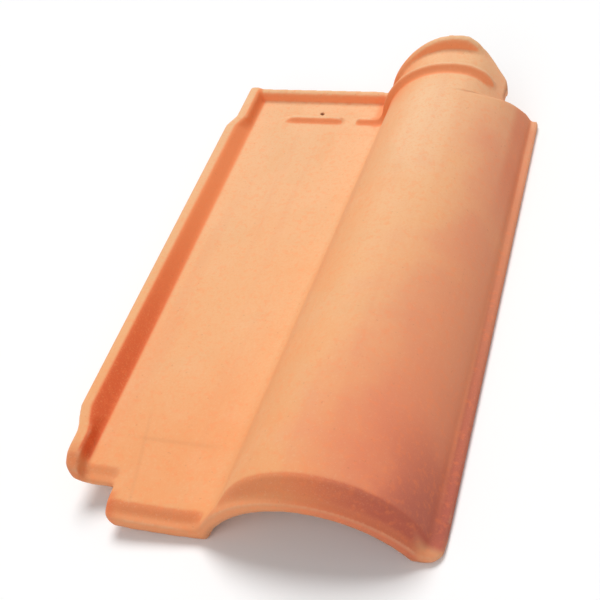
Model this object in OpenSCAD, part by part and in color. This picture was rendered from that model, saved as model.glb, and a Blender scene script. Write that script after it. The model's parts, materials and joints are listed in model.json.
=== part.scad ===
// Interlocking clay roof tile with a flat pan and a tapered barrel.
// The tile is drawn with its pan level, the tail at y = 0 and the head at y = tile_l,
// then rolled so that it lies on the floor on its lip, its nib and its flange.

/* [Tile] */
// Length from the tail lip to the head rib
tile_l = 405; // [330:1:480]
// Width from the side rim to the flange
tile_w = 240; // [200:0.1:280]
// Thickness of the clay
clay_t = 9; // [7:0.1:12]

/* [Side rim] */
// Height of the side rim above the pan
rim_h = 9.6; // [5:0.1:16]
// Width of the rim's flat top
rim_w = 10; // [5:0.1:15]
// Foot of the rim's sloping inner face
rim_foot = 16.4; // [12:0.1:25]
// Outer edge of the rim
rim_x = -1; // [-4:0.1:4]
// Rim set-in at the head
head_jog = 5; // [0:0.1:8]
// Rim set-in at the tail
tail_jog = 6; // [0:0.1:8]
// Start of the set-in at the head, from the head
head_jog_y = 51; // [47:1:75]
// Length of the set-in at the head
head_jog_l = 12; // [6:0.5:16]
// Start of the set-in at the tail, from the tail
tail_jog_y = 47; // [40:1:70]
// Length of the set-in at the tail
tail_jog_l = 20; // [8:0.5:30]

/* [Barrel] */
// Radius at the tail
tail_r = 59; // [45:0.1:75]
// Axis position across the tile at the tail
tail_cx = 168; // [150:0.1:190]
// Axis height at the tail
tail_cz = -8; // [-20:0.1:10]
// Half width of the right side at the tail
tail_ar = 65; // [50:0.1:75]
// Radius at the head
head_r = 51.5; // [40:0.1:65]
// Axis position across the tile at the head
head_cx = 178; // [160:0.1:195]
// Axis height at the head
head_cz = 0; // [-15:0.1:10]
// Half width of the right side at the head
head_ar = 56; // [40:0.1:70]
// Hollow between pan and barrel at the tail
tail_fillet = 15; // [5:0.5:25]
// Hollow between pan and barrel at the head
head_fillet = 12; // [5:0.5:25]

/* [Flange] */
// Inner edge of the flange
flange_x = 235; // [225:0.1:245]
// Top of the flange above the pan
flange_top = 3; // [0:0.1:8]
// Underside of the flange against the pan
flange_low = -2.3; // [-8:0.1:0]
// Length of the head beyond the flange
flange_l = 26; // [5:1:75]

/* [Tail lip] */
// Length of the roll down to the lip
lip_l = 9.8; // [6:0.1:20]
// Top of the lip below the pan
lip_top = 6.5; // [3:0.1:12]
// Underside of the lip below the pan
lip_low = 15.5; // [10:0.1:22]
// Centre of the tail arch across the tile
arch_cx = 166; // [150:0.1:179]
// Centre of the tail arch below the pan
arch_cz = -40; // [-60:0.1:-10]
// Radius of the tail arch
arch_r = 68; // [50:0.1:82]
// Radius of the lip over the arch
lip_r = 76; // [55:0.1:87]
// Drop of the short lip beside the side notch
side_drop = 4; // [0:0.1:8]
// Side notch width at the tail
notch_w = 37.5; // [25:0.5:50]
// Side notch length at the tail
notch_l = 22; // [10:0.5:40]
// Depth of the lap recess in the pan
lap_d = 0.8; // [0:0.1:2]
// Length of the lap recess
lap_l = 55; // [40:1:80]

/* [Head ribs] */
// Thickness of the end rib
end_rib_t = 6.8; // [4:0.1:12]
// Height of the end rib on the pan
end_rib_h = 8.2; // [4:0.1:14]
// Height of the end rib on the barrel's flank
end_rib_side = 3.6; // [1:0.1:8]
// Height of the end rib on the barrel's crown
end_rib_crown = 9; // [4:0.1:14]
// Front of the second rib from the head
rib_y = 34; // [27:1:39]
// Thickness of the second rib
rib_t = 7.2; // [4:0.1:12]
// Height of the second rib
rib_h = 5; // [2:0.1:10]
// Step down to the neck on the right
neck_step = 5; // [0:0.1:6]
// Where the neck begins on the crown, from the head
neck_y = 55.5; // [53:0.5:70]
// How far the shoulder reaches on beside the neck
shoulder_l = 16.4; // [6:0.1:20]
// Right edge of the neck
neck_x = 217.1; // [210:0.1:220]

/* [Fixing] */
// Diameter of the tie hole
tie_d = 3.2; // [2:0.1:8]
// Tie hole across the tile
tie_x = 70; // [40:1:100]
// Tie hole along the tile, from the head
tie_y = 21; // [9:0.5:25]
// Length of the batten nib across the tile
nib_l = 58; // [20:1:62]
// Thickness of the batten nib at its foot
nib_t = 15; // [8:0.5:25]
// Front of the batten nib from the head
nib_y = 53; // [20:1:75]

/* [Hidden] */
$fn = 96;
fillet_n = 4;
arc_n = 26;
inner_n = 20;
run_y = 10;
clear = 30;
// places at the head, counted from the tail
jog_at = tile_l - head_jog_y;
flange_end = tile_l - flange_l;
rib_at = tile_l - rib_y;
neck_at = tile_l - neck_y;
tie_at = tile_l - tie_y;
nib_at = tile_l - nib_y;
// share of the second rib's height that it has on the pan
pan_rib = 0.8;
// where the flat of the pan begins
pan_x = rim_foot + 2.6;
// shares of the pan's width where it carries a line of points, above and below
pan_u = [0.11, 0.22, 0.30, 0.38, 0.55, 0.71, 0.735, 0.833, 0.859, 1];
under_u = [0.7, 0.30, 0.22, 0.08];
// plan of the neck's right edge, measured from that side and from the head
neck_edge = [[17, 0], [11.2, 4.2], [5.9, 9.8], [1, 14.5], [-0.9, 22.8]];
// side view of the shoulder's edge, in shares of its length and of the barrel's radius
shoulder_edge = [[0.52, 0.75], [0.72, 0.664], [0.85, 0.594], [1.01, 0.499], [1.24, 0.373], [1.65, 0.192]];
// where the arch leaves the lip's underside
foot_x = arch_cx - sqrt(arch_r * arch_r - pow(lip_low + arch_cz, 2));
// roll that brings the flange down to the floor
roll = atan2(flange_low + lip_low, tile_w - 1 - foot_x);
// places along the tile where a section is drawn
lip_steps = [3, 5, 6.4, 7.6, 8.8, 10, 15];
jog_steps = [0, 0.5, 1];
// plain sections between the ends, from the tail and from the head
tail_runs = [110, 180];
head_runs = [155, 95];
function sorted(v) = len(v) < 2 ? v :
    concat(sorted([for (y = v) if (y < v[0]) y]), [v[0]], sorted([for (y = v) if (y > v[0]) y]));
stations = sorted([0, 1.5, each lip_steps, for (d = lip_steps) notch_l + d,
    for (t = jog_steps) tail_jog_y + tail_jog_l * t, for (t = jog_steps) jog_at + head_jog_l * t,
    lap_l - 2, lap_l + 2, each tail_runs, for (d = head_runs) tile_l - d, neck_at - 1.5, neck_at + 1.5,
    rib_at - 0.3, rib_at + 0.8, rib_at + 2, rib_at + rib_t - 2, rib_at + rib_t - 0.8, rib_at + rib_t + 0.3,
    tie_at, mix(tie_at, tile_l - end_rib_t, 0.5),
    for (d = [-0.3, 0.15, 0.9, 2.4, 4.2]) tile_l - end_rib_t + d, tile_l - 1.2, tile_l]);

function ease(a, b, v) = let (t = min(1, max(0, (v - a) / (b - a)))) t * t * (3 - 2 * t);
function mix(a, b, t) = a + (b - a) * t;
function run(a, b, y) = mix(a, b, min(1, max(0, (y - run_y) / (rib_at - run_y))));
function jog(y) = rim_x + head_jog * ease(jog_at, jog_at + head_jog_l, y)
    + tail_jog * (1 - ease(tail_jog_y, tail_jog_y + tail_jog_l, y));

// share of the lip in the section, by distance from the tail
function lip_w(d) = 1 - ease(3, lip_l, d);
function lip_under_w(d) = 1 - ease(6, 15, d);
// share of the second rib and of the end rib
function rib_w(y) = let (d = y - rib_at) ease(-0.3, 2, d) * (1 - ease(rib_t - 2, rib_t + 0.3, d));
function end_w(y) = let (t = min(1, max(0, (y - tile_l + end_rib_t + 0.3) / 4.5))) sqrt(t * (2 - t));
function rib_on(u) = u < 0.25 || (u > 0.72 && u < 0.85) ? 0 : pan_rib;

// barrel values: axis across, axis height, radius, right half width, hollow radius, pan level
function barrel(y) = [run(tail_cx, head_cx, y), run(tail_cz, head_cz, y), run(tail_r, head_r, y),
    run(tail_ar, head_ar, y), run(tail_fillet, head_fillet, y), 0];
lip = [arch_cx, arch_cz, lip_r, lip_r, 8, -lip_top];
arch = [arch_cx, arch_cz, arch_r, arch_r];

// start of the hollow on the pan, and the angle it sweeps up to the barrel
function hollow_x(b) = b[0] - sqrt(pow(b[2] + b[4], 2) - pow(b[5] + b[4] - b[1], 2));
function sweep(b) = atan2(b[0] - hollow_x(b), b[5] + b[4] - b[1]);
function hollow_pt(b, a, o) = [hollow_x(b) + (b[4] - o) * sin(a), b[5] + b[4] - (b[4] - o) * cos(a)];
function arc_pt(b, a, o) = [b[0] + ((a > 90 ? b[2] : b[3]) + o) * cos(a), b[1] + (b[2] + o) * sin(a)];
function right_a(b, z, o) = asin((z - b[1]) / (b[2] + o));

// height of the ribs over the hollow and over the barrel at angle a
function hollow_rise(y, t) = max(rib_h * mix(pan_rib, 1, t) * rib_w(y),
    mix(end_rib_h, end_rib_side, t) * end_w(y));
function crown(a) = mix(end_rib_side, end_rib_crown, pow(max(0, sin(a)), 6));
function neck_drop(a) = neck_step * (1 - ease(48, 76, a)) * ease(34, 38, a);
function rise(y, a) = max(rib_h * rib_w(y) * ease(53, 58, a),
    (crown(a) + neck_drop(a)) * ease(64, 82, a) * end_w(y))
    - neck_drop(a) * ease(neck_at - 1.5, neck_at + 1.5, y);
// how far the sections lean towards the head beside the neck, where the shoulder curves
function lean_w(a) = pow(min(1, max(0, (a - 15) / 42)), 1.4);
function lean(y, p) = min(shoulder_l, 0.8 * (rib_at - 1 - neck_at))
    * lean_w(atan2(p[0] - head_cx, max(0, p[1])))
    * max(0, min((y - neck_at + 40) / 40, (rib_at - 1 - y) / (rib_at - 1 - neck_at)));

// upper face from left to right
function rim_top(y) = let (j = jog(y), d = side_drop * lip_w(y - notch_l), e = end_rib_h * end_w(y)) [
    [j + 0.8, -3 - d / 2], [j, 3 - d], [j + 0.2, rim_h - 1.2 - d], [j + 1.4, rim_h - d],
    [j + rim_w - 2.2, rim_h - d], [j + rim_w - 0.4, rim_h - 1 - d],
    [rim_foot - 1.2, max(1.4, e) - d], [rim_foot + 0.4, max(0.25, e) - d], [pan_x, e - d]];
function lap(y, u) = u < 0.35 || u == 1 ? 0 : lap_d * ease(4, 14, y) * (1 - ease(lap_l - 2, lap_l + 2, y));
function pan_top(y) = let (x = mix(hollow_x(barrel(y)), hollow_x(lip), lip_w(y)))
    [for (u = pan_u) [mix(pan_x, x, u), max(end_rib_h * end_w(y), rib_h * rib_w(y) * rib_on(u))
        - (u < 0.25 ? side_drop * lip_w(y - notch_l) : lip_top * lip_w(y)) - lap(y, u)]];
function barrel_pts(b, y) = concat(
    [for (k = [1 : fillet_n]) hollow_pt(b, sweep(b) * k / fillet_n, hollow_rise(y, k / fillet_n))],
    [for (k = [1 : arc_n]) let (a = mix(90 + sweep(b), right_a(b, flange_top + 2.3, 0), k / arc_n))
        arc_pt(b, a, rise(y, a))]);
function barrel_top(y) = mix(barrel_pts(barrel(y), y), barrel_pts(lip, y), lip_w(y));
function flange_pts(x) = [[mix(x, flange_x, 0.5), flange_top + 0.7], [flange_x, flange_top],
    [tile_w - 1.7, flange_top], [tile_w, flange_top - 1.6], [tile_w, flange_low + 1.2],
    [tile_w - 1, flange_low]];

// underside from right to left
function under_barrel(b, y) = concat(
    [for (k = [0 : inner_n]) let (a = mix(right_a(b, flange_low, -clay_t), 90 + sweep(b), k / inner_n))
        arc_pt(b, a, -clay_t - 0.6 * neck_drop(a) * ease(neck_at - 6, neck_at + 6, y))],
    [for (k = [fillet_n - 1 : -1 : 0]) hollow_pt(b, sweep(b) * k / fillet_n, -clay_t)]);
function under_arch() = concat(
    [for (k = [0 : inner_n])
        arc_pt(arch, mix(right_a(arch, flange_low, 0), 180 - right_a(arch, -lip_low, 0), k / inner_n), 0)],
    [for (k = [1 : fillet_n]) [foot_x - k, -lip_low]]);
function under_pan(y) = let (x = mix(hollow_x(barrel(y)), foot_x - fillet_n, lip_under_w(y)))
    [for (u = under_u) [mix(pan_x, x, u),
        -mix(clay_t, lip_low, u < 0.25 ? 0 : lip_under_w(y))]];
function under_rim(y) = let (j = jog(y)) [[j + 10, -clay_t], [j + 4, 2.5 - clay_t]];

function ring(y) = let (top = barrel_top(y)) concat(rim_top(y), pan_top(y), top,
    flange_pts(top[len(top) - 1][0]), mix(under_barrel(barrel(y), y), under_arch(), lip_under_w(y)),
    under_pan(y), under_rim(y));
function strip(i, n) = [for (j = [0 : n - 1]) let (a = i * n + j, d = i * n + (j + 1) % n)
    each [[a, a + n, d + n], [a, d + n, d]]];

rings = [for (y = stations) [for (p = ring(y)) [p[0], y + lean(y, p), p[1]]]];
points = [for (r = rings) each r];
spread = [for (p = points) p[0] * cos(roll) + p[2] * sin(roll)];
mid_x = (min(spread) + max(spread)) / 2;
floor_z = foot_x * sin(roll) + lip_low * cos(roll);

// counts of the points in a section, and the end faces zipped from upper line to underside
rim_n = len(rim_top(0));
flat_n = rim_n + len(pan_u);
crown_n = flat_n + fillet_n + arc_n;
ring_n = len(rings[0]);
inner_0 = crown_n + 6;
inner_1 = inner_0 + inner_n;
function count(a, b) = [for (k = [a : (b > a ? 1 : -1) : b]) k];
function zip(a, b, i, k) = i == len(a) - 1 && k == len(b) - 1 ? [] :
    k == len(b) - 1 || (i < len(a) - 1 && (i + 1) * (len(b) - 1) <= (k + 1) * (len(a) - 1)) ?
    concat([[a[i], a[i + 1], b[k]]], zip(a, b, i + 1, k)) :
    concat([[a[i], b[k + 1], b[k]]], zip(a, b, i, k + 1));
tail_end = concat(
    zip(count(0, rim_n - 1), count(ring_n - 1, ring_n - 2), 0, 0),
    zip(count(rim_n - 1, flat_n - 1), count(ring_n - 2, inner_1 + fillet_n), 0, 0),
    zip(count(flat_n - 1, flat_n + fillet_n - 1), count(inner_1 + fillet_n, inner_1), 0, 0),
    zip(count(flat_n + fillet_n - 1, crown_n - 1), count(inner_1, inner_0), 0, 0),
    zip(count(crown_n - 1, inner_0 - 1), [inner_0], 0, 0));

// the shell, lofted through the sections
module shell() {
    m = len(rings) - 1;
    polyhedron(points, concat(tail_end, [for (i = [0 : m - 1]) each strip(i, ring_n)],
        [for (t = tail_end) [t[2], t[1], t[0]] + m * ring_n * [1, 1, 1]]), convexity = 8);
}

// waste outside a rounded corner
module round_off(x, y, turn, r) {
    translate([x, y]) rotate(turn) difference() {
        translate([-1, -1]) square(r + 1);
        translate([r, r]) circle(r * 1.05);
    }
}

// plan of the clay trimmed off the corners
module trims() {
    translate([-clear, -clear]) square([notch_w + clear, notch_l + clear]);
    round_off(notch_w, 0, 0, 7);
    round_off(rim_x + tail_jog, notch_l, 0, 8);
    round_off(tile_w, 0, 90, 11);
    polygon(concat([[neck_x - neck_edge[0][0], tile_l + clear]],
        [for (p = neck_edge) [neck_x - p[0], tile_l - p[1]]],
        [[neck_x, flange_end], [tile_w + clear, flange_end], [tile_w + clear, tile_l + clear]]));
}

// side view of the clay trimmed off beside the neck
module shoulder_trim() {
    edge = [for (p = shoulder_edge) [neck_at + shoulder_l * p[0], head_r * p[1]]];
    polygon(concat(edge, [[flange_end + 1, flange_top + 3], [flange_end + 1, 2 * head_r],
        [edge[0][0], 2 * head_r]]));
}

// nib that hooks over the batten
module nib() {
    translate([foot_x - nib_l, 0, 0]) rotate([90, 0, 90]) linear_extrude(nib_l)
        polygon([[nib_at, 1 - clay_t], [nib_at, -lip_low], [nib_at + nib_t * 0.6, -lip_low],
            [nib_at + nib_t, 1 - clay_t]]);
}

module roof_tile() {
    color([0.90, 0.62, 0.42]) translate([-mid_x, -tile_l / 2, floor_z]) rotate([0, roll, 0]) {
        difference() {
            shell();
            translate([0, 0, -2 * clear]) linear_extrude(5 * clear) trims();
            translate([neck_x, 0, 0]) rotate([90, 0, 90]) linear_extrude(tile_w) shoulder_trim();
            translate([tie_x, tie_at, -clear]) cylinder(h = 2 * clear, d = tie_d);
        }
        nib();
    }
}

roof_tile();
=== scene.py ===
"""Dresses the clay roof tile: rounded, pressed edges, unglazed fired clay, a pale floor and soft light."""
import json
import math

import bpy
from mathutils import Matrix, Vector


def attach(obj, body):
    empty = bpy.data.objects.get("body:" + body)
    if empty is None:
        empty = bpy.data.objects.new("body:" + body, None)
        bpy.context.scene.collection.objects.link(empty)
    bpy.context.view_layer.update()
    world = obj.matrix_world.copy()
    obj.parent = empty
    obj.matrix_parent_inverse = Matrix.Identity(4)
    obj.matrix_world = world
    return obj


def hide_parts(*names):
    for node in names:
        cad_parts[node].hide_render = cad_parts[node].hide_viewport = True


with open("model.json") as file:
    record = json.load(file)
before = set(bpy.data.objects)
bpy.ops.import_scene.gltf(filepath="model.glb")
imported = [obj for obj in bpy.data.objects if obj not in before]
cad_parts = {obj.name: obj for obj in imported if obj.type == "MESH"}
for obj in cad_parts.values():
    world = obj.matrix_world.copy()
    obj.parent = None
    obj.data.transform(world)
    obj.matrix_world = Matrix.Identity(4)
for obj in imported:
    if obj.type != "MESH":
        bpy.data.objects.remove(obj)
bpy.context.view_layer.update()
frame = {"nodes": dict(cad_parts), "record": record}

# Sizes are in metres, angles in degrees and colours linear. X runs across the tile, from the rim at the left
# to the flange at the right, and Y along it, from the tail to the head.

# Pressed mesh
VOXEL = 0.0012
MERGE_WITHIN = 0.00001
SMOOTH_FACTOR = 0.5
SMOOTH_STEPS = 7
LIP_STEPS = 24
LIP_HOLLOW_Y = (-0.1985, -0.178)
LIP_HOLLOW_LEAST_UP = 0.1
CORNER_STEPS = 18
CORNER_REACH = 0.015
# the lip's and the rim's corner at the notch, the right corner and the left foot of the arch
CORNERS = ((-0.0815, -0.2025), (-0.1140, -0.1800), (0.1195, -0.2025), (-0.0200, -0.1990))
TRIANGLES = 190000
DRILL_LENGTH = 0.03

# Camera, lamps and floor
IMAGE_PX = 600
FOCAL_PX = 1097.7
SENSOR = 36.0
CAMERA_AT = (0.26375, -0.49507, 0.49913)
CAMERA_LOOKS_AT = (-0.00145, -0.03741, 0.030)
CAMERA_ROLL = 20.2
CAMERA_NEAREST = 0.01
# direction that each lamp shines from, its power and its spread
KEY = ((-0.16, 0.48, 0.86), 2.14, 32)
FILL = ((0.10, -0.75, 0.65), 0.88, 60)
SKY_POWER = 0.27
FLOOR_SIZE = 12.0
FLOOR_COLOUR = (0.97, 0.97, 0.97, 1)
FLOOR_ROUGHNESS = 0.9
WHITE = (1, 1, 1, 1)

# Clay colours; the deep red and the mauve serve only painted shade
PEACH = (0.855, 0.445, 0.210)
PALE = (0.865, 0.515, 0.285)
CREAM = (0.89, 0.590, 0.355)
BEIGE = (0.76, 0.440, 0.220)
ORANGE = (0.85, 0.340, 0.130)
RED = (0.95, 0.240, 0.072)
DEEP_RED_SHADE = (0.72, 0.120, 0.036)
PINK = (0.76, 0.205, 0.112)
MAUVE_SHADE = (0.40, 0.095, 0.068)
DARK = (0.45, 0.17, 0.08)
HOLE_COLOUR = (0.10, 0.05, 0.03)

# Clay surface
ROUGHNESS = 0.70
GRAIN_ROUGHNESS = 0.16
SHINE = 0.28
BUMP_STRENGTH = 0.35
BUMP_DEPTH = 0.0006
GRAIN_RELIEF = 0.5
MOTTLE_RELIEF = 0.4
BLOTCH_RELIEF = 0.9
STREAK_RELIEF = 0.35

# Noise patterns: blobs to the metre, detail and, where it is drawn out, its stretch
CLOUDS = (9, 3)
PATCHES = (20, 2)
BLOTCHES = (34, 4)
STREAKS = (60, 3, (1.0, 0.07, 1.0))
MOTTLE = (260, 3)
GRAIN = (760, 3)
SPECKS = (420, 2)

# The pairs below are fades: the value at which a colour layer, painted shade included, is absent, and the one
# from which it is full.

# Levels of a pattern, or of how sharp an edge is
GREY_PATCHES = (0.50, 0.60)
PALE_BLOTCHES = (0.50, 0.72)
ORANGE_BLOTCHES = (0.48, 0.28)
PINK_STREAKS = (0.52, 0.72)
RED_MOTTLE = (0.50, 0.70)
ORANGE_GRAIN = (0.50, 0.72)
PALE_GRAIN = (0.46, 0.28)
DARK_SPECKS = (0.68, 0.76)
WORN_EDGES = (0.511, 0.555)
# painted shade in the creases
SHADED_CREASES = (0.490, 0.455)

# Parts of the surface's unit normal; all but the first pick the faces on which shade is painted
UPPER_SIDE_Z = (-0.10, 0.10)
LEFT_SLOPE_FACES_X = (-0.12, -0.50)
RIM_FACES_X = (0.15, 0.60)
NECK_FLANK_FACES_X = (-0.35, -0.75)
END_RIB_FACES_Y = (-0.55, -0.90)
SECOND_RIB_FACES_Y = (-0.18, -0.55)
LIP_BAND_FACES_Y = (-0.10, -0.40)
SHORT_LIP_FACES_Y = (-0.08, -0.35)
FRONT_FACES_Y = (-0.35, -0.65)
FRONT_FACES_Z = (0.12, -0.35)

# Places on the body of the tile
HEAD_Y = (-0.06, 0.20)
TAIL_Y = (-0.04, -0.20)
RIGHT_X = (0.050, 0.116)
RIGHT_SLANT = 0.12
CORNER_X = (0.080, 0.112)
CORNER_Y = (-0.12, -0.19)
CROWN_LEFT_X = (0.022, 0.045)
CROWN_RIGHT_X = (0.088, 0.062)
LEFT_SLOPE_X = (-0.02, 0.0)
FOLD_LEFT_X = (0.1070, 0.1110)
FOLD_RIGHT_X = (0.1160, 0.1148)
FOLD_Y = (0.04, 0.11)
FLANGE_X = (0.1125, 0.1150)
FLANGE_Y = (-0.196, -0.184)
FLANGE_BROWN_Y = (0.14, 0.05)
FLANGE_MAUVE_Y = (0.10, -0.13)

# Places on the rim, the ribs and the neck
RIM_X = (-0.085, -0.098)
RIM_Y = (-0.174, -0.165)
RIM_DEEP_Y = (0.10, -0.12)
RIBS_Y = (-0.10, 0.0)
SECOND_RIB_Y = (0.186, 0.180)
RIB_FOOT_NEAR_Y = (0.1645, 0.1668)
RIB_FOOT_FAR_Y = (0.1705, 0.1695)
NECK_Y = (0.140, 0.165)
NECK_LEFT_X = (-0.005, 0.002)
NECK_RIGHT_X = (0.094, 0.088)
NECK_FOOT_LEFT_X = (-0.0085, -0.0030)
NECK_FOOT_RIGHT_X = (0.0180, 0.0110)
NECK_FOOT_NEAR_Y = (0.1640, 0.1675)
NECK_FOOT_FAR_Y = (0.2000, 0.1965)
NECK_EDGE_LEFT_X = (0.0980, 0.0998)
NECK_EDGE_RIGHT_X = (0.1055, 0.1035)
NECK_EDGE_Y = (0.164, 0.170)

# Places on the tail lip and round the notch
LIP_BAND_Y = (-0.182, -0.190)
LIP_BAND_MAUVE_X = (0.045, 0.095)
LIP_FRONT_Y = (-0.1965, -0.2005)
BEHIND_LIP_FRONT_Y = (-0.2005, -0.1965)
LIP_RIGHT_END_X = (0.104, 0.109)
LIP_RIGHT_END_Y = (-0.1930, -0.1985)
LIP_LEFT_END_X = (-0.0725, -0.0790)
LIP_LEFT_END_Y = (-0.184, -0.190)
ARCH_RIGHT_X = (0.108, 0.102)
ARCH_RED_X = (0.020, 0.060)
ARCH_MAUVE_X = (0.050, 0.090)
SHORT_LIP_X = (-0.078, -0.084)
SHORT_LIP_Y = (-0.160, -0.168)
RIM_CORNER_X = (-0.099, -0.106)
RIM_CORNER_Y = (-0.158, -0.174)

# Painted shadow line where the shoulder steps down to the neck: straight, then rising towards the head over
# its bend
SHOULDER_Y = 0.1478
SHOULDER_BEND_X = 0.077
SHOULDER_BEND_SPAN = 1 / 42.5
SHOULDER_BEND_POWER = 1.4
SHOULDER_RISE = 0.0111
SHOULDER_LINE = (0.0016, 0.0004)
SHOULDER_LEFT_X = (0.066, 0.084)
SHOULDER_RIGHT_X = (0.104, 0.101)

# Painted shade lines round the lap
LAP_LINE = (0.0020, 0.0004)
LAP_END_AT_Y = -0.1475
LAP_END_LEFT_X = (-0.085, -0.070)
LAP_END_RIGHT_X = (-0.012, -0.045)
LAP_SIDE_AT_X = -0.0985
LAP_SIDE_SLANT = 0.17
LAP_SIDE_HEAD_Y = (-0.118, -0.140)
LAP_SIDE_TAIL_Y = (-0.196, -0.190)

# Darkening at the tie hole, by the square of the distance from its middle
HOLE_DARKENING = (3.6e-6, 2.0e-6)


class Sock:
    """A shader socket that can be added, multiplied and so on; make() adds any other node."""
    tree = None

    def __init__(self, socket):
        self.socket = socket

    @classmethod
    def make(cls, kind, inputs, out=0, **settings):
        node = cls.tree.nodes.new(kind)
        for name, value in settings.items():
            setattr(node, name, value)
        for key, value in inputs.items():
            if isinstance(value, Sock):
                cls.tree.links.new(value.socket, node.inputs[key])
            else:
                node.inputs[key].default_value = value
        return cls(node.outputs[out])

    def beside(self, name):
        """Another output of the same node."""
        return Sock(self.socket.node.outputs[name])

    def math(self, operation, *others):
        return Sock.make("ShaderNodeMath", dict(enumerate((self, *others))), operation=operation)

    def __add__(self, other):
        return self.math("ADD", other)

    def __sub__(self, other):
        return self.math("SUBTRACT", other)

    def __mul__(self, other):
        return self.math("MULTIPLY", other)

    def __radd__(self, other):
        return self + other

    def __rmul__(self, other):
        return self * other

    def __rsub__(self, other):
        return (self * -1.0) + other

    def __abs__(self):
        return self.math("ABSOLUTE")

    def larger(self, other):
        return self.math("MAXIMUM", other)

    def fade(self, absent, full):
        """0 at absent and before it, 1 at full and past it, smooth between; full may be the smaller."""
        return Sock.make("ShaderNodeMapRange", {"Value": self, "From Min": absent, "From Max": full},
                         interpolation_type="SMOOTHSTEP")

    def tint(self, under, over, share):
        """Lays so much of one colour over another where this is 1, and none where it is 0."""
        under, over = (c if isinstance(c, Sock) else (*c, 1.0) for c in (under, over))
        return Sock.make("ShaderNodeMix", {0: self * share, 6: under, 7: over}, out=2, data_type="RGBA")


def noise(place, scale, detail, stretch=(1, 1, 1)):
    """Cloudy 0 to 1 pattern with so many blobs to the metre."""
    at = Sock.make("ShaderNodeMapping", {"Vector": place, "Scale": stretch})
    return Sock.make("ShaderNodeTexNoise", {"Vector": at, "Scale": scale, "Detail": detail})


def drift(pattern, reach):
    """Offset that makes a straight border wander with a pattern."""
    return (pattern - 0.5) * reach


def new_material(name):
    material = bpy.data.materials.new(name)
    material.use_nodes = True
    Sock.tree = material.node_tree
    return material, material.node_tree.nodes["Principled BSDF"]


def tie_hole():
    return next(m for m in frame["record"]["mounts"] if m["name"] == "tie_hole")


class Skin:
    """What the clay's colour layers, painted shade and light among them, read: place, facing, noise and the
    areas that several of them share.
    """

    def __init__(self):
        place = Sock.make("ShaderNodeTexCoord", {}, out="Object")
        self.x = x = Sock.make("ShaderNodeSeparateXYZ", {"Vector": place}, out="X")
        self.y = y = x.beside("Y")
        normal = Sock.make("ShaderNodeNewGeometry", {}, out="Normal")
        self.face_x = Sock.make("ShaderNodeSeparateXYZ", {"Vector": normal}, out="X")
        self.face_y = self.face_x.beside("Y")
        self.face_z = self.face_x.beside("Z")
        self.edge = normal.beside("Pointiness")

        clouds = noise(place, *CLOUDS)
        self.patches = noise(place, *PATCHES)
        self.blotches = noise(place, *BLOTCHES)
        self.streaks = noise(place, *STREAKS)
        self.mottle = noise(place, *MOTTLE)
        self.grain = noise(place, *GRAIN)
        self.specks = noise(place, *SPECKS)

        self.upper = self.face_z.fade(*UPPER_SIDE_Z)
        self.head = (y + drift(clouds, reach=0.16)).fade(*HEAD_Y)
        self.tail = (y + drift(clouds, reach=0.14)).fade(*TAIL_Y)
        rightward = x - y * RIGHT_SLANT + drift(self.blotches, reach=0.05) + drift(clouds, reach=0.06)
        self.right = rightward.fade(*RIGHT_X)
        corner_x = (x + drift(self.blotches, reach=0.03)).fade(*CORNER_X)
        corner_y = (y + drift(self.blotches, reach=0.05)).fade(*CORNER_Y)
        self.corner = corner_x * corner_y
        self.neck = y.fade(*NECK_Y)
        self.rim_face = x.fade(*RIM_X) * self.face_x.fade(*RIM_FACES_X) * y.fade(*RIM_Y)


def body(skin):
    """Peach, paler at the head and orange at the tail, with greyer patches, blotches and pressing streaks."""
    crown = skin.x.fade(*CROWN_LEFT_X) * skin.x.fade(*CROWN_RIGHT_X)
    left_slope = skin.face_x.fade(*LEFT_SLOPE_FACES_X) * skin.x.fade(*LEFT_SLOPE_X)
    colour = skin.head.tint(PEACH, PALE, share=0.75)
    colour = skin.tail.tint(colour, ORANGE, share=0.80)
    # painted light: paler cream on the crown at the head, where the key lamp falls most
    colour = (crown * skin.head).tint(colour, CREAM, share=0.50 - 0.42 * skin.neck)
    # painted shade: more orange on the barrel's left slope, picked by the way its faces turn
    colour = left_slope.tint(colour, ORANGE, share=0.40)
    colour = skin.patches.fade(*GREY_PATCHES).tint(colour, BEIGE, share=0.22)
    colour = skin.blotches.fade(*PALE_BLOTCHES).tint(colour, PALE, share=0.20)
    colour = skin.blotches.fade(*ORANGE_BLOTCHES).tint(colour, ORANGE, share=0.20)
    return skin.streaks.fade(*PINK_STREAKS).tint(colour, PINK, share=0.12)


def shaded_right_flank(skin, colour):
    """Painted shade: pinker down the right flank, redder in the fold at its head, mauve towards the tail
    corner.
    """
    fold = skin.x.fade(*FOLD_LEFT_X) * skin.x.fade(*FOLD_RIGHT_X) * skin.y.fade(*FOLD_Y)
    colour = skin.right.tint(colour, PINK, share=0.62 + 0.28 * skin.tail)
    colour = fold.tint(colour, DEEP_RED_SHADE, share=0.36)
    return skin.corner.tint(colour, MAUVE_SHADE, share=0.74)


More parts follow.
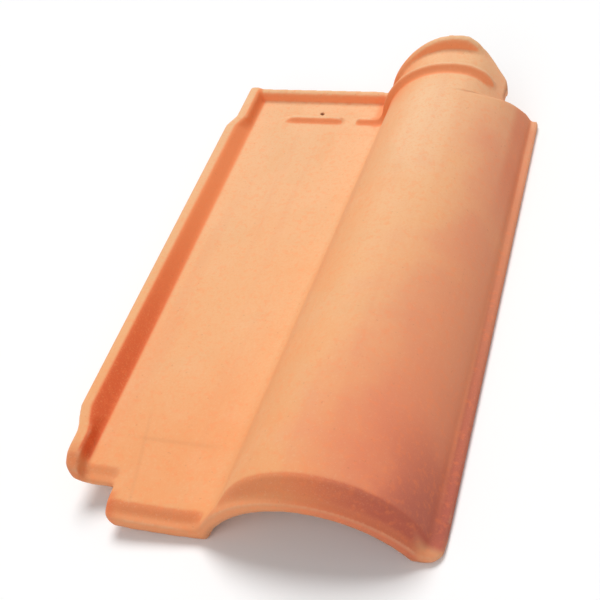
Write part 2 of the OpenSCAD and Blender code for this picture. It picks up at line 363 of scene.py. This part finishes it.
def rim_and_rib_shade(skin, colour):
    """Painted shade: redder on the shaded sides of the rim and the ribs, along their feet and on the neck's
    left flank.
    """
    x, y = skin.x, skin.y
    end_rib = skin.face_y.fade(*END_RIB_FACES_Y)
    second_rib = skin.face_y.fade(*SECOND_RIB_FACES_Y) * y.fade(*SECOND_RIB_Y)
    rib_faces = end_rib.larger(second_rib) * y.fade(*RIBS_Y)
    upper_neck = skin.upper * skin.neck * x.fade(*NECK_LEFT_X)
    rib_foot = upper_neck * x.fade(*NECK_RIGHT_X) * y.fade(*RIB_FOOT_NEAR_Y) * y.fade(*RIB_FOOT_FAR_Y)
    neck_foot = skin.upper * x.fade(*NECK_FOOT_LEFT_X) * x.fade(*NECK_FOOT_RIGHT_X)
    neck_foot = neck_foot * y.fade(*NECK_FOOT_NEAR_Y) * y.fade(*NECK_FOOT_FAR_Y)
    colour = skin.rim_face.tint(colour, RED, share=0.75)
    colour = (skin.rim_face * y.fade(*RIM_DEEP_Y)).tint(colour, DEEP_RED_SHADE, share=0.85)
    colour = rib_faces.larger(rib_foot).larger(neck_foot).tint(colour, RED, share=0.66)
    return (upper_neck * skin.face_x.fade(*NECK_FLANK_FACES_X)).tint(colour, RED, share=0.50)


def tail_lip_shade(skin, colour):
    """Painted shade on the tail lip: red in the band above it and mauve at its right, orange on its front,
    darker ends; painted light makes its right end peach.
    """
    x, y = skin.x, skin.y
    band = y.fade(*LIP_BAND_Y) * y.fade(*BEHIND_LIP_FRONT_Y) * skin.face_y.fade(*LIP_BAND_FACES_Y)
    front = y.fade(*LIP_FRONT_Y)
    arch_front = front * x.fade(*ARCH_RIGHT_X)
    right_end = y.fade(*LIP_RIGHT_END_Y) * x.fade(*LIP_RIGHT_END_X)
    left_end = y.fade(*LIP_LEFT_END_Y) * x.fade(*LIP_LEFT_END_X)
    colour = band.tint(colour, DEEP_RED_SHADE, share=0.46)
    colour = (band * x.fade(*LIP_BAND_MAUVE_X)).tint(colour, MAUVE_SHADE, share=0.60)
    colour = right_end.tint(colour, PEACH, share=0.55)
    colour = front.tint(colour, ORANGE, share=0.40)
    colour = front.tint(colour, PINK, share=0.30)
    colour = (arch_front * x.fade(*ARCH_RED_X)).tint(colour, DEEP_RED_SHADE, share=0.28)
    colour = (arch_front * x.fade(*ARCH_MAUVE_X)).tint(colour, MAUVE_SHADE, share=0.25)
    return left_end.tint(colour, DEEP_RED_SHADE, share=0.46)


def notch(skin, colour):
    """Painted shade: redder on the short lip beside the notch, browner on the rim's corner."""
    short_lip = skin.x.fade(*SHORT_LIP_X) * skin.y.fade(*SHORT_LIP_Y) * skin.face_y.fade(*SHORT_LIP_FACES_Y)
    rim_corner = skin.x.fade(*RIM_CORNER_X) * skin.y.fade(*RIM_CORNER_Y)
    colour = short_lip.tint(colour, DEEP_RED_SHADE, share=0.26)
    colour = rim_corner.tint(colour, DARK, share=0.22)
    return rim_corner.tint(colour, DEEP_RED_SHADE, share=0.24)


def shaded_edges(skin, colour):
    """Painted shade: browner on the flange, on the lower edges in front and on the neck's right edge."""
    x, y = skin.x, skin.y
    flange = x.fade(*FLANGE_X) * y.fade(*FLANGE_Y)
    lower_front = skin.face_z.fade(*FRONT_FACES_Z) * skin.face_y.fade(*FRONT_FACES_Y)
    neck_edge = x.fade(*NECK_EDGE_LEFT_X) * x.fade(*NECK_EDGE_RIGHT_X) * y.fade(*NECK_EDGE_Y) * skin.upper
    colour = (flange * y.fade(*FLANGE_BROWN_Y)).tint(colour, DARK, share=0.22)
    colour = (flange * y.fade(*FLANGE_MAUVE_Y)).tint(colour, MAUVE_SHADE, share=0.66)
    colour = lower_front.tint(colour, DARK, share=0.70)
    return neck_edge.tint(colour, DARK, share=0.65)


def shoulder_shadow(skin, colour):
    """Painted shadow: a dark line behind the shoulder's edge, where it steps down to the neck."""
    x = skin.x
    bend = ((x - SHOULDER_BEND_X) * (1 / SHOULDER_BEND_SPAN)).larger(0.0).math("POWER", SHOULDER_BEND_POWER)
    line = abs(skin.y - SHOULDER_Y - bend * SHOULDER_RISE).fade(*SHOULDER_LINE)
    line = skin.upper * line * x.fade(*SHOULDER_LEFT_X) * x.fade(*SHOULDER_RIGHT_X)
    return line.tint(colour, DARK, share=0.50)


def grain_wear_and_crease_shade(skin, colour):
    """Fine grain and specks, worn edges, and painted shade in the creases."""
    pale_share = 0.22 - 0.12 * skin.right - 0.08 * skin.corner - 0.14 * skin.rim_face
    colour = skin.mottle.fade(*RED_MOTTLE).tint(colour, RED, share=0.20)
    colour = skin.grain.fade(*ORANGE_GRAIN).tint(colour, ORANGE, share=0.34 - 0.22 * skin.right)
    colour = skin.grain.fade(*PALE_GRAIN).tint(colour, PALE, share=pale_share)
    colour = skin.specks.fade(*DARK_SPECKS).tint(colour, DARK, share=0.22)
    colour = skin.edge.fade(*WORN_EDGES).tint(colour, CREAM, share=0.40)
    # painted shade: deep red in the creases
    return skin.edge.fade(*SHADED_CREASES).tint(colour, DEEP_RED_SHADE, share=0.34)


def lap_shadow_lines(skin, colour):
    """Painted shade: faint dark lines along the lap's step."""
    x, y = skin.x, skin.y
    end = abs(y - LAP_END_AT_Y).fade(*LAP_LINE) * x.fade(*LAP_END_LEFT_X) * x.fade(*LAP_END_RIGHT_X)
    side = abs(x - LAP_SIDE_AT_X + y * LAP_SIDE_SLANT).fade(*LAP_LINE)
    side = side * y.fade(*LAP_SIDE_HEAD_Y) * y.fade(*LAP_SIDE_TAIL_Y)
    return (skin.upper * (end + side)).tint(colour, DARK, share=0.08)


def darker_hole(skin, colour):
    """Darker in the tie hole and round its mouth."""
    hole_x, hole_y, _ = tie_hole()["pos_m"]
    off_x, off_y = skin.x - hole_x, skin.y - hole_y
    return (off_x * off_x + off_y * off_y).fade(*HOLE_DARKENING).tint(colour, HOLE_COLOUR, share=0.62)


def clay():
    """Unglazed fired clay: its colour layers, painted shade and light among them, laid over one another, on a
    dull, grainy surface.
    """
    material, shader = new_material("fired_clay")
    skin = Skin()
    colour = body(skin)
    for colour_layer in (shaded_right_flank, rim_and_rib_shade, tail_lip_shade, notch, shaded_edges, shoulder_shadow, grain_wear_and_crease_shade,
                   lap_shadow_lines, darker_hole):
        colour = colour_layer(skin, colour)
    roughness = ROUGHNESS + GRAIN_ROUGHNESS * skin.grain
    fine_relief = skin.grain * GRAIN_RELIEF + skin.mottle * MOTTLE_RELIEF
    relief = fine_relief + skin.blotches * BLOTCH_RELIEF + skin.streaks * STREAK_RELIEF
    bump = Sock.make("ShaderNodeBump", {"Height": relief, "Strength": BUMP_STRENGTH, "Distance": BUMP_DEPTH})
    for socket, value in (("Base Color", colour), ("Roughness", roughness), ("Normal", bump)):
        Sock.tree.links.new(value.socket, shader.inputs[socket])
    shader.inputs["Specular IOR Level"].default_value = SHINE
    return material


def smooth(piece, steps, group=""):
    """Evens out the mesh, all over or in one vertex group."""
    modifier = piece.modifiers.new("smooth", "SMOOTH")
    modifier.factor = SMOOTH_FACTOR
    modifier.iterations = steps
    modifier.vertex_group = group
    bpy.ops.object.modifier_apply(modifier=modifier.name)


def soften(piece, weight, steps):
    """Rounds the clay where weight, a function of a vertex, is above zero."""
    group = piece.vertex_groups.new(name="soft")
    for vertex in piece.data.vertices:
        share = weight(vertex)
        if share > 0:
            group.add([vertex.index], share, "REPLACE")
    smooth(piece, steps, group.name)
    piece.vertex_groups.clear()


def lip_hollow(vertex):
    """1 in the hollow above the tail lip, which has no crisp line."""
    near, far = LIP_HOLLOW_Y
    return float(near < vertex.co.y < far and vertex.normal.z > LIP_HOLLOW_LEAST_UP)


def worn_corner(vertex):
    """1 up to half of CORNER_REACH from a corner that the die leaves round, fading to 0 at all of it."""
    distance = min((vertex.co.xy - Vector(corner)).length for corner in CORNERS)
    return min(1.0, max(0.0, 2 - 2 * distance / CORNER_REACH))


def drill_tie_hole(piece):
    """Cuts the tie hole through the pan again, at its true size."""
    hole = tie_hole()
    turn = Vector(hole["axis"]).to_track_quat("Z", "Y").to_euler()
    bpy.ops.mesh.primitive_cylinder_add(radius=hole["dims"]["r_mm"] / 1000, depth=DRILL_LENGTH,
                                        location=hole["pos_m"], rotation=turn)
    drill = bpy.context.object
    cut = piece.modifiers.new("tie_hole", "BOOLEAN")
    cut.object = drill
    bpy.context.view_layer.objects.active = piece
    bpy.ops.object.modifier_apply(modifier=cut.name)
    bpy.data.objects.remove(drill)
    piece.select_set(True)


def pressed_tile(node):
    """The tile with the soft edges that pressed clay has, remade from the solid."""
    piece = bpy.data.objects.new("pressed_tile", node.data.copy())
    bpy.context.scene.collection.objects.link(piece)
    bpy.ops.object.select_all(action="DESELECT")
    piece.select_set(True)
    bpy.context.view_layer.objects.active = piece
    bpy.ops.object.mode_set(mode="EDIT")
    bpy.ops.mesh.select_all(action="SELECT")
    bpy.ops.mesh.remove_doubles(threshold=MERGE_WITHIN)
    bpy.ops.object.mode_set(mode="OBJECT")
    remesh = piece.modifiers.new("remesh", "REMESH")
    remesh.mode = "VOXEL"
    remesh.voxel_size = VOXEL
    bpy.ops.object.modifier_apply(modifier=remesh.name)
    smooth(piece, SMOOTH_STEPS)
    soften(piece, lip_hollow, LIP_STEPS)
    soften(piece, worn_corner, CORNER_STEPS)
    # a face of the remeshed clay is a quad, so two triangles
    thin_out = piece.modifiers.new("thin_out", "DECIMATE")
    thin_out.ratio = min(1.0, TRIANGLES / (2 * len(piece.data.polygons)))
    bpy.ops.object.modifier_apply(modifier=thin_out.name)
    drill_tie_hole(piece)
    bpy.ops.object.shade_smooth()
    piece.data.materials.clear()
    piece.data.materials.append(clay())
    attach(piece, "root")
    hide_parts("roof_tile")
    return piece


def floor():
    """Pale, dull floor that the tile lies on."""
    bpy.ops.mesh.primitive_plane_add(size=FLOOR_SIZE)
    plane = bpy.context.object
    plane.name = "floor"
    material, shader = new_material("pale_floor")
    shader.inputs["Base Color"].default_value = FLOOR_COLOUR
    shader.inputs["Roughness"].default_value = FLOOR_ROUGHNESS
    shader.inputs["Specular IOR Level"].default_value = 0.0
    plane.data.materials.append(material)


def lamps():
    """A broad key lamp from behind, a broader fill from the front."""
    for name, (shines_from, power, spread) in (("key", KEY), ("fill", FILL)):
        lamp = bpy.data.lights.new(name, "SUN")
        lamp.energy = power
        lamp.angle = math.radians(spread)
        sun = bpy.data.objects.new(name, lamp)
        sun.rotation_euler = Vector(shines_from).to_track_quat("Z", "Y").to_euler()
        bpy.context.scene.collection.objects.link(sun)


def sky():
    """White where it is seen, dimmer as a lamp."""
    world = bpy.context.scene.world or bpy.data.worlds.new("world")
    bpy.context.scene.world = world
    world.use_nodes = True
    Sock.tree = world.node_tree
    background = world.node_tree.nodes["Background"]
    background.inputs["Color"].default_value = WHITE
    camera_ray = Sock.make("ShaderNodeLightPath", {}, out="Is Camera Ray")
    seen = camera_ray + camera_ray.beside("Is Glossy Ray") + camera_ray.beside("Is Transmission Ray")
    strength = SKY_POWER + (1 - SKY_POWER) * seen.math("MINIMUM", 1.0)
    Sock.tree.links.new(strength.socket, background.inputs["Strength"])


def camera():
    """Looks down on the tail end from the right, turned about its line of sight."""
    data = bpy.data.cameras.new("camera")
    data.sensor_width = SENSOR
    data.lens = FOCAL_PX / IMAGE_PX * SENSOR
    data.clip_start = CAMERA_NEAREST
    eye = bpy.data.objects.new("camera", data)
    sight = Vector(CAMERA_LOOKS_AT) - Vector(CAMERA_AT)
    aim = sight.to_track_quat("-Z", "Y").to_matrix().to_4x4()
    roll = Matrix.Rotation(math.radians(-CAMERA_ROLL), 4, "Z")
    eye.matrix_world = Matrix.Translation(CAMERA_AT) @ aim @ roll
    bpy.context.scene.collection.objects.link(eye)
    bpy.context.scene.camera = eye


pressed_tile(frame["nodes"]["roof_tile"])
floor()
lamps()
sky()
camera()
bpy.context.scene.view_settings.view_transform = "Standard"
